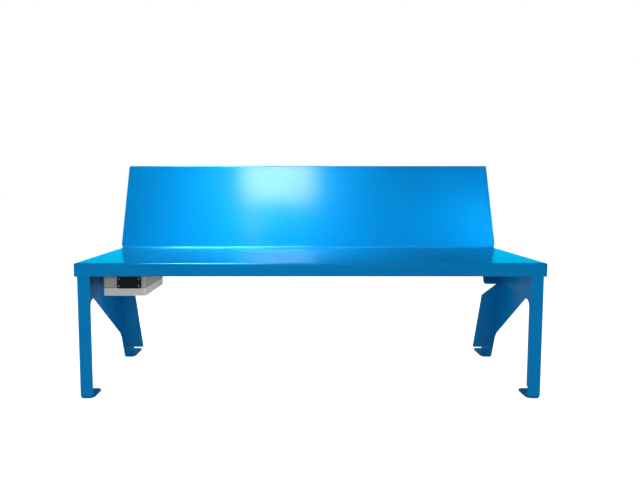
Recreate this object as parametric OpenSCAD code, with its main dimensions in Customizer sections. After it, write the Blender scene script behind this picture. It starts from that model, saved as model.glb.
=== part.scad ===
// Heated bench: a folded steel seat and back on two folded leg frames, with a heater under the
// seat and its control box hung behind the apron. Millimetres, +Z up, +X to the right as seen
// from the front, which faces -Y. The origin is on the floor, below the middle of the bench.

/* [Seat and back] */
// Overall width of the seat
seat_w = 1506; // [1200:2:2000]
// Depth of the seat, from the apron's face to the fold
seat_d = 430; // [420:2:480]
// Height of the seat's top above the floor
seat_h = 445; // [430:1:480]
// Length of the back up its slope
back_len = 357; // [250:1:450]
// Lean of the back from upright
recline = 20.4; // [12:0.1:25]
// Height of the apron and of the seat's side lips
apron_h = 43; // [40:1:60]
// Thickness of the seat and back sheet
sheet_t = 3; // [2:0.5:4]
// Inner radius of the turned edges
edge_inner_r = 3; // [1:0.5:4]
// Inner radius of the fold between seat and back
fold_r = 12; // [6:1:20]
// Depth of the lips round the back
back_lip = 20; // [12:1:30]
// Length of the return under the apron
apron_return = 15; // [10:1:18]

/* [Leg frames] */
// Thickness of the leg plate
leg_t = 4; // [3:0.5:5]
// Inner radius of the leg's bends
leg_inner_r = 4; // [3:0.5:5]
// Distance from the seat's side to the leg's outer face
leg_inset = 7; // [5:0.5:20]
// Width of the flange down the front of the leg
front_flange_w = 42; // [34:1:50]
// Depth of the front leg
front_leg_d = 94; // [84:1:110]
// Width of the flanges behind the leg
rear_flange_w = 73; // [60:1:90]
// Width of the rear leg, square to its slope
rear_leg_w = 24; // [20:1:45]
// Lean of the rear leg from upright
leg_lean = 20.4; // [15:0.1:26]
// Depth of the elbow behind the apron's face
elbow_y = 334; // [315:1:350]
// Drop of the elbow below the seat's top
elbow_drop = 128; // [110:1:150]
// Drop of the notch's sharp corner below the seat's top
notch_drop = 114; // [100:1:130]
// Slope of the gusset's lower edge
gusset_angle = 38; // [34:0.2:42]
// Radius at the top of the notch
notch_r = 24; // [12:1:30]
// Radius where the gusset runs into the rear leg
knee_r = 90; // [10:1:100]
// Width of the flange that the elbow's mitre leaves
mitre_root_w = 24; // [16:1:40]
// Width of the top flange
top_flange_w = 40; // [36:1:46]

/* [Feet] */
// Width of the foot tabs
foot_w = 41; // [38:1:60]
// Length of the front foot
front_foot_len = 76; // [60:1:80]
// Length of the rear foot
rear_foot_len = 103; // [80:1:130]
// Height of the strip above the rear foot tab
foot_strip_h = 32; // [20:1:36]
// Slot between the rear foot and the flange above it
foot_slot = 6; // [4:0.5:10]
// Corner radius of the foot tabs
foot_r = 17; // [4:1:20]
// Diameter of the anchor holes
anchor_d = 12; // [8:0.5:14]
// Distance from the leg's outer face to the anchor holes
anchor_x = 26; // [22:1:28]
// Distance of the front anchor hole from the front of its foot
front_anchor_y = 34; // [24:1:46]
// Distance of the rear anchor hole from the back of its foot
rear_anchor_y = 30; // [18:1:34]

/* [Heater] */
// Thickness of the heating mat
mat_t = 2; // [1.5:0.5:3]
// Thickness of the insulation board
board_t = 30; // [20:1:30]
// Thickness of the bottom cover
cover_t = 1.5; // [1:0.25:2]
// Width of the bottom cover's flange
cover_flange = 18; // [16:1:22]
// Space between the bottom cover and the leg frames' flanges
cover_side_gap = 6; // [4:1:16]
// Space between the bottom cover and the apron's return
cover_front_gap = 7; // [4:1:14]
// Space between the bottom cover and the fold
cover_back_gap = 22; // [12:1:40]
// Diameter of the heater lead
heater_lead_d = 7; // [5:0.5:8]
// Diameter of the sensor lead
sensor_lead_d = 4; // [3:0.5:5]

/* [Control box] */
// Width of the control box
box_w = 140; // [130:1:170]
// Length of the control box, front to back
box_l = 212; // [200:1:240]
// Height of the box body
box_body_h = 54; // [50:1:60]
// Height of the box lid
box_lid_h = 25.5; // [22:0.5:34]
// Wall of the box
box_wall = 3; // [2.5:0.25:4]
// Outer corner radius of the box
box_r = 5; // [3:0.5:7]
// Thickness of the lid gasket
gasket_t = 1.5; // [1:0.25:2.5]
// Distance of the box from the left leg frame's outer face
box_x = 62; // [56:1:90]
// Distance of the box behind the apron's face
box_y = 65; // [55:1:75]
// Width of the front plate
plate_w = 80; // [70:1:90]
// Height of the front plate
plate_h = 41; // [34:1:42]
// Distance of the front plate's middle from the box's middle
plate_shift = 16.5; // [0:0.5:20]
// Thickness of the front plate
plate_t = 2.5; // [1.5:0.25:4]
// Spacing of the front plate's screws across
plate_screw_dx = 65; // [58:1:66]
// Spacing of the front plate's screws up and down
plate_screw_dz = 24; // [20:1:26]
// Thread diameter of the supply gland
gland_d = 20; // [16:1:20]

/* [Hidden] */
$fn = 48;

// Colours
paint_colour = [0.0, 0.52, 0.83];
zinc_colour = [0.75, 0.77, 0.78];
box_colour = [0.66, 0.64, 0.62];
black_colour = [0.06, 0.06, 0.07];
rubber_colour = [0.12, 0.12, 0.13];
heater_colour = [0.70, 0.30, 0.16];
foam_colour = [0.90, 0.84, 0.62];
circuit_colour = [0.10, 0.38, 0.22];
terminal_colour = [0.42, 0.42, 0.43];

// Clearances
slide_fit = 0.3;
hole_slack = 1;
apron_gap = 1;
over = 1;

// Seat and back
edge_r = edge_inner_r + sheet_t;
seat_half_w = seat_w / 2;
flat_half_w = seat_half_w - edge_r;
fold_turn = 90 - recline;
fold_reach = fold_r * tan(fold_turn / 2);
fold_relief = 1;
fold_half_w = flat_half_w - fold_relief;
lip_relief = 4;
lip_end_r = 8;
seat_under = seat_h - sheet_t;
bench_d = seat_d + back_len * sin(recline) + back_lip * cos(recline);

// Leg frames
leg_r = leg_inner_r + leg_t;
leg_x = seat_half_w - leg_inset;
leg_front = sheet_t + apron_gap;
front_leg_back = leg_front + front_leg_d;
leg_top = seat_under;
foot_relief = 2;
front_flange_low = leg_r + foot_relief;
flange_bottom = foot_strip_h + foot_slot;
elbow_z = seat_h - elbow_drop;
notch_z = seat_h - notch_drop;
tip_r = 8;
bottom_tip_r = 5;
bend_tail = 1;
plate_in = leg_r + bend_tail / 2;
front_foot_front = leg_front + plate_in;
front_foot_back = front_foot_front + front_foot_len;
relief = 3;
slot_kerf = 1;
sliver_past = 1;
return_half_w = leg_x - front_flange_w - relief * 2;

// Normals from the leg's rear faces into the plate
lower_in = [-cos(leg_lean), -sin(leg_lean)];
upper_in = [-cos(recline), sin(recline)];
flat_elbow = [elbow_y, elbow_z] + (lower_in + upper_in) * plate_in / (1 + lower_in * upper_in);
elbow_lean = (leg_lean + recline) / 2;
mitre_tilt = (leg_lean - recline) / 2;

// Line of the rear leg's front edge, and the flat plate's rear edge, by height
function leg_rear_y(z) = elbow_y + (elbow_z - z) * tan(leg_lean);
function leg_edge_y(z, inset) = leg_rear_y(z) - inset / cos(leg_lean);
function upper_edge_y(z, inset) = elbow_y + (z - elbow_z) * tan(recline) - inset / cos(recline);
leg_run = tan(leg_lean);
gusset_run = 1 / tan(gusset_angle);
// Height at which the gusset's lower edge meets the rear leg's front edge
knee_z = (leg_edge_y(0, rear_leg_w) - front_leg_back - notch_z * gusset_run) / (leg_run - gusset_run);
rear_foot_front = leg_edge_y(plate_in, rear_leg_w);
rear_foot_back = rear_foot_front + rear_foot_len;

// Leg studs
stud_d = 8;
stud_len = 20;
stud_pad_d = 12;
stud_pad_t = 1;
stud_x = leg_x - top_flange_w / 2 - leg_r / 4;
stud_count = 4;
stud_end_in = 20;
top_flange_front = leg_front + leg_r + relief;
top_flange_back = upper_edge_y(leg_top, leg_r) - leg_r;
stud_front = top_flange_front + stud_end_in;
stud_step = (top_flange_back - stud_end_in - stud_front) / (stud_count - 1);
washer_d = 17;
washer_t = 1.6;
nut_af = 13;
nut_h = 6.5;

// Heater stack under the seat
mat_bottom = seat_under - mat_t;
board_bottom = mat_bottom - board_t;
cover_bottom = board_bottom - cover_t;
cover_half_w = leg_x - max(top_flange_w, rear_flange_w - cover_flange) - cover_side_gap;
cover_front = apron_return + cover_front_gap;
cover_back = seat_d - fold_reach - cover_back_gap;
cover_r = 14;
pan_half_w = cover_half_w - cover_flange;
pan_front = cover_front + cover_flange;
pan_back = cover_back - cover_flange;
board_half_w = pan_half_w - cover_t - hole_slack;
mat_margin = 8;
mat_r = 10;
mat_half_w = board_half_w - mat_margin;
mat_front = pan_front + cover_t + mat_margin;
mat_back = pan_back - cover_t - mat_margin;
cover_stud_d = 5;
cover_stud_len = 10;
cover_nut_af = 8;
cover_nut_h = 4;
cover_stud_cols = 6;
cover_stud_x = cover_half_w - cover_flange / 2;
cover_stud_step = 2 * cover_stud_x / (cover_stud_cols - 1);
cover_stud_y = [cover_front + cover_flange / 2, cover_back - cover_flange / 2];

// Control box
box_top = cover_bottom;
body_bottom = box_top - box_body_h;
lid_top = body_bottom - gasket_t;
lid_bottom = lid_top - box_lid_h;
box_left = -leg_x + box_x;
box_right = box_left + box_w;
box_mid_x = box_left + box_w / 2;
box_back = box_y + box_l;
box_mid_y = box_y + box_l / 2;
pillar_d = 11;
pillar_in = box_wall + pillar_d / 2 - 1;
lid_screw_d = 5;
lid_screw_head_d = 8.5;
lid_screw_head_h = 5;
lid_screw_bite = 14;
hex_key_ratio = 0.7;
gasket_inset = 0.4;
lid_groove_w = 1.6;
lid_groove_deep = 1;
lid_groove_count = 2;
box_screw_d = 5;
box_screw_head_d = 9;
box_screw_head_h = 3;
box_screw_side_in = 34;
box_screw_dx = box_w / 2 - box_screw_side_in;
chassis_side_room = 13;
chassis_end_room = 26;
box_screw_dy = box_l / 2 - box_wall - chassis_end_room / 2;
box_screw_spare = 1;
rivet_nut_d = 7;
rivet_nut_flange_d = 10;
rivet_nut_flange_t = 1;
rivet_nut_len = 9;

// Leads from the heater into the box
bush_wall = 1.5;
bush_flange_t = 1.5;
bush_flange_w = 2.5;
heater_bush_d = heater_lead_d + 2 * bush_wall + slide_fit;
sensor_bush_d = sensor_lead_d + 2 * bush_wall + slide_fit;
board_bore_extra = 2 * bush_flange_w + hole_slack;
bush_low = box_top - box_wall - bush_flange_t - slide_fit;
bush_rise = 3;
bush_top = cover_bottom + cover_t + bush_rise;
terminal_l = 52;
terminal_w = 20;
terminal_h = 20;
terminal_ways = 5;
terminal_pitch = terminal_l / terminal_ways;
terminal_screw_d = 5;
terminal_screw_deep = 5;
terminal_way_d = 4.2;
heater_lead_x = box_mid_x + 2 * terminal_pitch;
sensor_lead_x = box_mid_x - 2 * terminal_pitch;
lead_forward = 20;
lead_y = box_mid_y - lead_forward;
lead_run = 12;
lead_clear = 1;
heater_bend = 2 * heater_lead_d;
sensor_bend = 2 * sensor_lead_d;
lead_turn_z = bush_low - heater_bend - lead_clear;
lead_end_y = lead_y - heater_bend - lead_run;
terminal_y = lead_end_y - terminal_w / 2 - slide_fit;
patch_w = 44;
patch_l = 30;
patch_t = 7;
patch_r = 5;
cutout_from_box = 60;
cutout_x = box_right + cutout_from_box;
cutout_d = 16;
cutout_h = 9;
cutout_rim_h = 3;
cutout_cap_d = 13;
sensor_d = 9;
sensor_h = 6;
socket_floor = 1.5;
pocket_gap = 3;
pocket_side = 1;

// Front plate
plate_mid_x = box_mid_x + plate_shift;
plate_drop = 2.5;
plate_mid_z = body_bottom + plate_h / 2 - plate_drop;
plate_r = 6.5;
plate_gasket_t = 1;
plate_screw_d = 3.5;
plate_screw_head_d = 6.5;
plate_screw_top_d = 4.5;
plate_screw_head_h = 2;
plate_screw_past = 2;
window_side_in = 7;
window_end_in = 3;
window_w = plate_screw_dx - 2 * window_side_in;
window_h = plate_screw_dz - 2 * window_end_in;

// Supply gland on the back of the box
gland_aside = 30;
gland_x = box_mid_x - gland_aside;
gland_z = body_bottom + box_body_h / 2;
gland_hex_ratio = 1.2;
gland_bore_ratio = 0.55;
gland_top_ratio = 0.9;
gland_hex = gland_d * gland_hex_ratio;
gland_bore = gland_d * gland_bore_ratio;
gland_hex_h = 6;
gland_neck_h = 12;
gland_cap_hex_h = 7;
gland_cap_rim_h = 10;
gland_cap_h = 14;
gland_cap_top_d = gland_d * gland_top_ratio;
gland_nut_h = 5;
gland_thread_past = 3;
gland_thread = box_wall + gland_nut_h + gland_thread_past;
seal_wall = 2;

// Parts on the chassis plate
boss_h = 5;
boss_d = 9;
chassis_t = 1.5;
chassis_w = box_w - 2 * (box_wall + chassis_side_room);
chassis_l = box_l - 2 * (box_wall + chassis_end_room);
chassis_r = 4;
chassis_top = box_top - box_wall - boss_h;
chassis_bottom = chassis_top - chassis_t;
chassis_screw_d = 4;
chassis_screw_in = 8;
chassis_screw_dx = chassis_w / 2 - chassis_screw_in;
chassis_screw_dy = chassis_l / 2 - chassis_screw_in;
chassis_screw_head_d = 7.5;
chassis_screw_head_h = 2.5;
chassis_screw_spare = 1;
lead_slack = 4;
relay_w = 24;
relay_l = 30;
relay_h = 22;
relay_r = 1.5;
relay_behind = 22;
relay_aside = 22;
relay_y = lead_y + relay_behind;
relay_x = box_mid_x - relay_aside;
circuit_w = 42;
circuit_l = 66;
circuit_t = 1.6;
circuit_aside = 24;
circuit_end_gap = 14;
circuit_x = box_mid_x + circuit_aside;
circuit_y = box_mid_y + (chassis_l - circuit_l) / 2 - circuit_end_gap;
standoff_h = 8;
standoff_d = 6;
circuit_inset = 4;
circuit_hole_d = 3.2;
circuit_screw_d = 2.8;
circuit_screw_head_d = 5.5;
circuit_screw_head_h = 2;
transformer = [18, 14, 14];
plug_strip = [24, 9, 9];
capacitor_d = 8;
capacitor_h = 10;
transformer_y = circuit_y - circuit_l / 5;
plug_strip_y = circuit_y + circuit_l / 4;
capacitor_y = circuit_y + circuit_l / 12;

// Places the bench's own coordinates, y from the apron's face, on the origin
module place() {
    translate([0, -bench_d / 2, 0]) children();
}

// Extrudes a section drawn in y and z along x
module along_x(length) {
    rotate([90, 0, 90]) linear_extrude(length) children();
}

// Extrudes a section drawn in x and z along y
module along_y(length) {
    translate([0, length, 0]) rotate([90, 0, 0]) linear_extrude(length) children();
}

function unit(v) = v / norm(v);

// Sliver between the corner p and the arc of radius r that rounds it
module corner_sliver(a, p, b, r) {
    to_a = unit(a - p);
    to_b = unit(b - p);
    half = acos(to_a * to_b) / 2;
    middle = p + unit(to_a + to_b) * r / sin(half);
    difference() {
        polygon([p + to_a * r / tan(half), p + unit(p - middle) * sliver_past, p + to_b * r / tan(half)]);
        translate(middle) circle(r);
    }
}

// Outline through corners [x, y, radius], anticlockwise
module rounded_outline(corners) {
    n = len(corners);
    xy = [for (c = corners) [c[0], c[1]]];
    turn = [for (i = [0:n - 1]) cross(xy[i] - xy[(i + n - 1) % n], xy[(i + 1) % n] - xy[i])];
    difference() {
        polygon(xy);
        for (i = [0:n - 1]) {
            if (corners[i][2] > 0 && turn[i] > 0) {
                corner_sliver(xy[(i + n - 1) % n], xy[i], xy[(i + 1) % n], corners[i][2]);
            }
        }
    }
    for (i = [0:n - 1]) {
        if (corners[i][2] > 0 && turn[i] < 0) {
            corner_sliver(xy[(i + n - 1) % n], xy[i], xy[(i + 1) % n], corners[i][2]);
        }
    }
}

// Rectangle from x0, y0 to x1, y1 with rounded corners
module rounded_rect(x0, y0, x1, y1, r) {
    rounded_outline([[x0, y0, r], [x1, y0, r], [x1, y1, r], [x0, y1, r]]);
}

// Quarter ring of a bend whose outer corner would be at the origin
module bend_section(t, r) {
    translate([-r - t, -r - t]) intersection() {
        difference() {
            circle(r + t);
            circle(r);
        }
        square(r + t);
    }
}

// Section of a turned edge: the sheet's face is y = 0 and its outer corner is at the origin
module turned_edge(depth, t, r) {
    bend_section(t, r);
    translate([-t, -depth]) square([t, depth - r - t]);
}

// Side lip of the sheet along y, its far lower corner rounded
module side_lip(length, depth) {
    along_y(length) {
        bend_section(sheet_t, edge_inner_r);
        translate([-edge_r - over, -sheet_t]) square([over, sheet_t]);
    }
    translate([-sheet_t, 0, 0]) along_x(sheet_t)
        rounded_outline([[0, -depth, 0], [length, -depth, lip_end_r], [length, -edge_r, 0], [0, -edge_r, 0]]);
}

// Section through the fold, with the end of the seat and the start of the back
module fold_section() {
    translate([seat_d - fold_reach, seat_h + fold_r]) {
        intersection() {
            difference() {
                circle(fold_r + sheet_t);
                circle(fold_r);
            }
            translate([0, -2 * fold_r]) square(2 * fold_r);
            rotate(fold_turn) translate([-2 * fold_r, -2 * fold_r]) square(2 * fold_r);
        }
        translate([-over, -fold_r - sheet_t]) square([over, sheet_t]);
        rotate(fold_turn) translate([0, -fold_r - sheet_t]) square([over, sheet_t]);
    }
}

// Places its children on the back: y up its slope from the fold's sharp corner, z out of its face
module at_back() {
    translate([0, seat_d - fold_reach, seat_h + fold_r]) rotate([fold_turn, 0, 0])
        translate([0, -fold_reach, -fold_r]) children();
}

// Apron with its return, cut short where the legs stand behind it
module apron() {
    low = seat_h - apron_h;
    translate([-flat_half_w, 0, 0]) along_x(2 * flat_half_w) {
        translate([0, seat_h]) mirror([1, 0]) bend_section(sheet_t, edge_inner_r);
        translate([0, low + edge_r]) square([sheet_t, apron_h - 2 * edge_r]);
    }
    translate([-return_half_w, 0, 0]) along_x(2 * return_half_w) {
        translate([0, low]) rotate(180) bend_section(sheet_t, edge_inner_r);
        translate([edge_r, low]) square([apron_return - edge_r, sheet_t]);
    }
    for (side = [-1, 1]) {
        reach = flat_half_w - return_half_w;
        translate([side * (return_half_w + reach / 2) - reach / 2, 0, low]) cube([reach, sheet_t, edge_r]);
    }
}

// Corner of the sheet, turned from the same section as its lips
module sheet_corner(depth) {
    rotate_extrude(angle = 90) translate([edge_r, 0]) turned_edge(depth, sheet_t, edge_inner_r);
}

// Lip and corner at one side of the seat
module seat_side() {
    translate([seat_half_w, edge_r, seat_h]) side_lip(seat_d - fold_reach - lip_relief - edge_r, apron_h);
    translate([flat_half_w, edge_r, seat_h]) rotate([0, 0, -90]) sheet_corner(apron_h);
}

// Lip and corner at one side of the back
module back_side() {
    translate([seat_half_w, back_len - edge_r, 0]) mirror([0, 1, 0])
        side_lip(back_len - fold_reach - lip_relief - edge_r, back_lip);
    translate([flat_half_w, back_len - edge_r, 0]) sheet_corner(back_lip);
}

module seat_back_shell() {
    color(paint_colour) place() {
        translate([-flat_half_w, edge_r, seat_under])
            cube([2 * flat_half_w, seat_d - fold_reach - edge_r - over / 2, sheet_t]);
        translate([-fold_half_w, 0, 0]) along_x(2 * fold_half_w) fold_section();
        apron();
        seat_side();
        mirror([1, 0, 0]) seat_side();
        at_back() {
            translate([-flat_half_w, fold_reach + over / 2, -sheet_t])
                cube([2 * flat_half_w, back_len - fold_reach - edge_r - over / 2, sheet_t]);
            translate([-flat_half_w, 0, 0]) along_x(2 * flat_half_w)
                translate([back_len, 0]) turned_edge(back_lip, sheet_t, edge_inner_r);
            back_side();
            mirror([1, 0, 0]) back_side();
        }
    }
}

// Flange turned inwards along y, its outer corner at x = 0, z = 0
module flange(start, end, outline) {
    translate([0, start, 0]) along_y(end - start) {
        bend_section(leg_t, leg_inner_r);
        translate([-leg_t, -leg_r - bend_tail]) square([leg_t, bend_tail]);
    }
    translate([0, 0, -leg_t]) linear_extrude(leg_t) rounded_outline(outline);
}

// Flat side of the leg frame, in y and z
module leg_side_outline() {
    slot_low = foot_strip_h;
    slot_high = flange_bottom;
    rounded_outline([
        [front_foot_front, plate_in, 0],
        [front_leg_back, plate_in, 0],
        [front_leg_back, notch_z, notch_r],
        [leg_edge_y(knee_z, rear_leg_w), knee_z, knee_r],
        [rear_foot_front, plate_in, 0],
        [rear_foot_back, plate_in, 0],
        [rear_foot_back, slot_low, bottom_tip_r],
        [leg_edge_y(slot_low, plate_in), slot_low, 0],
        [leg_edge_y(slot_high, plate_in), slot_high, 0],
        [flat_elbow[0], flat_elbow[1], 0],
        [upper_edge_y(leg_top - plate_in, plate_in), leg_top - plate_in, 0],
        [front_foot_front, leg_top - plate_in, 0]
    ]);
}

// Foot tab from start to end, its sole on the floor
module foot_tab(start, end, hole_y) {
    difference() {
        mirror([0, 0, 1]) flange(start, end, [
            [-foot_w, start, foot_r],
            [-leg_r, start, 0],
            [-leg_r, end, 0],
            [-foot_w, end, foot_r]
        ]);
        translate([-anchor_x, hole_y, -over]) cylinder(d = anchor_d, h = leg_t + 2 * over);
    }
}

// Flange down the front of the leg
module front_flange() {
    height = leg_top - leg_r - relief - front_flange_low;
    translate([0, leg_front, front_flange_low]) rotate([90, 0, 0]) flange(0, height, [
        [-front_flange_w, 0, tip_r],
        [-leg_r, 0, 0],
        [-leg_r, height, 0],
        [-front_flange_w, height, tip_r]
    ]);
}

// Flange that runs up from the elbow's mitre, which is z = 0, leaning back
module elbow_flange(length, outline) {
    intersection() {
        rotate([90 - elbow_lean, 0, 0]) mirror([0, 0, 1]) flange(-leg_r, length, outline);
        translate([-2 * rear_flange_w, -2 * rear_flange_w, 0])
            cube([3 * rear_flange_w, seat_h + rear_flange_w, seat_h]);
    }
}

// Flange along the back of the rear leg, cut level above the foot
module lower_flange() {
    length = elbow_z / cos(leg_lean);
    mirror([0, 0, 1]) elbow_flange(length, [
        [-leg_r, -leg_r, 0],
        [-leg_r, length, 0],
        [-rear_flange_w, length, 0],
        [-rear_flange_w, rear_flange_w - mitre_root_w, 0],
        [-mitre_root_w, 0, 0],
        [-mitre_root_w, -leg_r, 0]
    ]);
}

// Flange above the elbow, parallel to the back
module upper_flange() {
    length = (leg_top - leg_r - relief - elbow_z) / cos(recline);
    intersection() {
        elbow_flange(length, [
            [-rear_flange_w, -leg_r, 0],
            [-leg_r, -leg_r, 0],
            [-leg_r, length, 0],
            [-rear_flange_w, length, tip_r]
        ]);
        translate([0, -seat_d, 0]) along_y(2 * seat_d) rounded_outline([
            [-rear_flange_w, 0, tip_r],
            [over, 0, 0],
            [over, length, 0],
            [-rear_flange_w, length, 0]
        ]);
    }
}

// Both flanges behind the rear leg, joined at the elbow, their bend run down to a kerf above the foot
module rear_flanges() {
    intersection() {
        translate([0, elbow_y, elbow_z]) rotate([mitre_tilt, 0, 0]) {
            lower_flange();
            upper_flange();
        }
        translate([0, 0, flange_bottom]) along_y(2 * seat_d) rounded_outline([
            [-rear_flange_w, 0, bottom_tip_r],
            [-leg_r - bend_tail, 0, 0],
            [-leg_r - bend_tail, slot_kerf - foot_slot, 0],
            [over, slot_kerf - foot_slot, 0],
            [over, seat_h, 0],
            [-rear_flange_w, seat_h, 0]
        ]);
    }
}

module top_flange() {
    difference() {
        translate([0, 0, leg_top]) flange(top_flange_front, top_flange_back, [
            [-top_flange_w, top_flange_front, tip_r],
            [-leg_r, top_flange_front, 0],
            [-leg_r, top_flange_back, 0],
            [-top_flange_w, top_flange_back, tip_r]
        ]);
        for (i = [0:stud_count - 1]) {
            translate([stud_x - leg_x, stud_front + i * stud_step, leg_top - leg_t - over])
                cylinder(d = stud_pad_d + hole_slack, h = leg_t + 2 * over);
        }
    }
}

// Leg frame on the right: one plate with every flange and foot turned inwards
module leg_frame() {
    translate([leg_x, 0, 0]) {
        translate([-leg_t, 0, 0]) along_x(leg_t) leg_side_outline();
        front_flange();
        rear_flanges();
        top_flange();
        foot_tab(front_foot_front, front_foot_back, front_foot_front + front_anchor_y);
        foot_tab(rear_foot_front, rear_foot_back, rear_foot_back - rear_anchor_y);
    }
}

module right_leg_frame() {
    color(paint_colour) place() leg_frame();
}

module left_leg_frame() {
    color(paint_colour) place() mirror([1, 0, 0]) leg_frame();
}

// Repeats its children at each leg stud, z = 0 at the underside of the seat
module at_leg_studs() {
    for (side = [-1, 1]) {
        for (i = [0:stud_count - 1]) {
            translate([side * stud_x, stud_front + i * stud_step, seat_under]) children();
        }
    }
}

module leg_studs() {
    color(zinc_colour) place() at_leg_studs() {
        translate([0, 0, -stud_pad_t]) cylinder(d = stud_pad_d, h = stud_pad_t);
        translate([0, 0, -stud_len]) cylinder(d = stud_d, h = stud_len);
    }
}

module leg_washers() {
    color(zinc_colour) place() at_leg_studs() translate([0, 0, -leg_t - washer_t]) difference() {
        cylinder(d = washer_d, h = washer_t);
        translate([0, 0, -over]) cylinder(d = stud_d + slide_fit, h = washer_t + 2 * over);
    }
}

module hex_nut(across, height, bore) {
    difference() {
        cylinder(d = across / cos(30), h = height, $fn = 6);
        translate([0, 0, -over]) cylinder(d = bore, h = height + 2 * over);
    }
}

module leg_nuts() {
    color(zinc_colour) place() at_leg_studs() translate([0, 0, -leg_t - washer_t - nut_h])
        hex_nut(nut_af, nut_h, stud_d + slide_fit);
}

// Bores for both leads, each wide enough for what goes through
module lead_bores(heater_bore, sensor_bore, low, height) {
    translate([heater_lead_x, lead_y, low]) cylinder(d = heater_bore, h = height);
    translate([sensor_lead_x, lead_y, low]) cylinder(d = sensor_bore, h = height);
}

module heating_mat() {
    color(heater_colour) place() translate([0, 0, mat_bottom]) linear_extrude(mat_t)
        rounded_rect(-mat_half_w, mat_front, mat_half_w, mat_back, mat_r);
}

module heater_connection_patch() {
    color(heater_colour) place() difference() {
        translate([heater_lead_x, lead_y, mat_bottom - patch_t]) linear_extrude(patch_t)
            rounded_rect(-patch_w / 2, -patch_l / 2, patch_w / 2, patch_l / 2, patch_r);
        translate([heater_lead_x, lead_y, mat_bottom - patch_t - over])
            cylinder(d = heater_lead_d + slide_fit, h = patch_t - socket_floor + over);
    }
}

module thermal_cutout() {
    color(black_colour) place() translate([cutout_x, lead_y, mat_bottom]) {
        translate([0, 0, -cutout_rim_h]) cylinder(d = cutout_d, h = cutout_rim_h);
        translate([0, 0, -cutout_h]) cylinder(d = cutout_cap_d, h = cutout_h);
    }
}

module temperature_sensor() {
    color(zinc_colour) place() difference() {
        translate([sensor_lead_x, lead_y, mat_bottom - sensor_h]) cylinder(d = sensor_d, h = sensor_h);
        translate([sensor_lead_x, lead_y, mat_bottom - sensor_h - over])
            cylinder(d = sensor_lead_d + slide_fit, h = sensor_h - socket_floor + over);
    }
}

module insulation_board() {
    color(foam_colour) place() difference() {
        translate([0, 0, board_bottom]) linear_extrude(board_t)
            rounded_rect(-board_half_w, pan_front + cover_t + hole_slack,
                board_half_w, pan_back - cover_t - hole_slack, cover_r - cover_t - hole_slack);
        lead_bores(heater_bush_d + board_bore_extra, sensor_bush_d + board_bore_extra,
            board_bottom - over, board_t + 2 * over);
        translate([heater_lead_x, lead_y, mat_bottom - patch_t - pocket_gap])
            linear_extrude(patch_t + pocket_gap + over) rounded_rect(-patch_w / 2 - pocket_side,
                -patch_l / 2 - pocket_side, patch_w / 2 + pocket_side, patch_l / 2 + pocket_side,
                patch_r + pocket_side);
        translate([cutout_x, lead_y, mat_bottom - cutout_h - pocket_gap])
            cylinder(d = cutout_d + 2 * pocket_side, h = cutout_h + pocket_gap + over);
        at_box_screws() translate([0, 0, cover_t])
            cylinder(d = rivet_nut_flange_d + hole_slack, h = rivet_nut_len + pocket_gap);
    }
}

module bottom_cover() {
    color(zinc_colour) place() difference() {
        union() {
            translate([0, 0, seat_under - cover_t]) linear_extrude(cover_t) difference() {
                rounded_rect(-cover_half_w, cover_front, cover_half_w, cover_back, cover_r);
                rounded_rect(-pan_half_w + cover_t, pan_front + cover_t,
                    pan_half_w - cover_t, pan_back - cover_t, cover_r - cover_t);
            }
            translate([0, 0, cover_bottom]) linear_extrude(mat_t + board_t + cover_t / 2) difference() {
                rounded_rect(-pan_half_w, pan_front, pan_half_w, pan_back, cover_r);
                rounded_rect(-pan_half_w + cover_t, pan_front + cover_t,
                    pan_half_w - cover_t, pan_back - cover_t, cover_r - cover_t);
            }
            translate([0, 0, cover_bottom]) linear_extrude(cover_t)
                rounded_rect(-pan_half_w, pan_front, pan_half_w, pan_back, cover_r);
        }
        at_cover_studs() translate([0, 0, -cover_t - over])
            cylinder(d = cover_stud_d + hole_slack, h = cover_t + 2 * over);
        lead_bores(heater_bush_d, sensor_bush_d, cover_bottom - over, cover_t + 2 * over);
        at_box_screws() translate([0, 0, -over]) cylinder(d = rivet_nut_d, h = cover_t + 2 * over);
    }
}

// Repeats its children at each cover stud, z = 0 at the underside of the seat
module at_cover_studs() {
    for (y = cover_stud_y) {
        for (i = [0:cover_stud_cols - 1]) {
            translate([-cover_stud_x + i * cover_stud_step, y, seat_under]) children();
        }
    }
}

module cover_studs() {
    color(zinc_colour) place() at_cover_studs() translate([0, 0, -cover_stud_len])
        cylinder(d = cover_stud_d, h = cover_stud_len);
}

module cover_nuts() {
    color(zinc_colour) place() at_cover_studs() translate([0, 0, -cover_t - cover_nut_h])
        hex_nut(cover_nut_af, cover_nut_h, cover_stud_d + slide_fit);
}

// Repeats its children at each screw that holds the box, z = 0 at the top of the box
module at_box_screws() {
    for (sx = [-1, 1]) {
        for (sy = [-1, 1]) {
            translate([box_mid_x + sx * box_screw_dx, box_mid_y + sy * box_screw_dy, box_top]) children();
        }
    }
}

module box_rivet_nuts() {
    color(zinc_colour) place() at_box_screws() difference() {
        union() {
            cylinder(d = rivet_nut_d - slide_fit, h = rivet_nut_len);
            translate([0, 0, cover_t]) cylinder(d = rivet_nut_flange_d, h = rivet_nut_flange_t);
        }
        translate([0, 0, -over]) cylinder(d = box_screw_d + slide_fit, h = rivet_nut_len + 2 * over);
    }
}

module box_screws() {
    color(zinc_colour) place() at_box_screws() {
        translate([0, 0, -box_wall - box_screw_head_h]) difference() {
            cylinder(d = box_screw_head_d, h = box_screw_head_h);
            translate([0, 0, -over])
                cylinder(d = box_screw_d * hex_key_ratio, h = over + box_screw_head_h / 2, $fn = 6);
        }
        translate([0, 0, -box_wall - box_screw_head_h / 2]) cylinder(d = box_screw_d,
            h = box_wall + box_screw_head_h / 2 + rivet_nut_len - box_screw_spare);
    }
}

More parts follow.
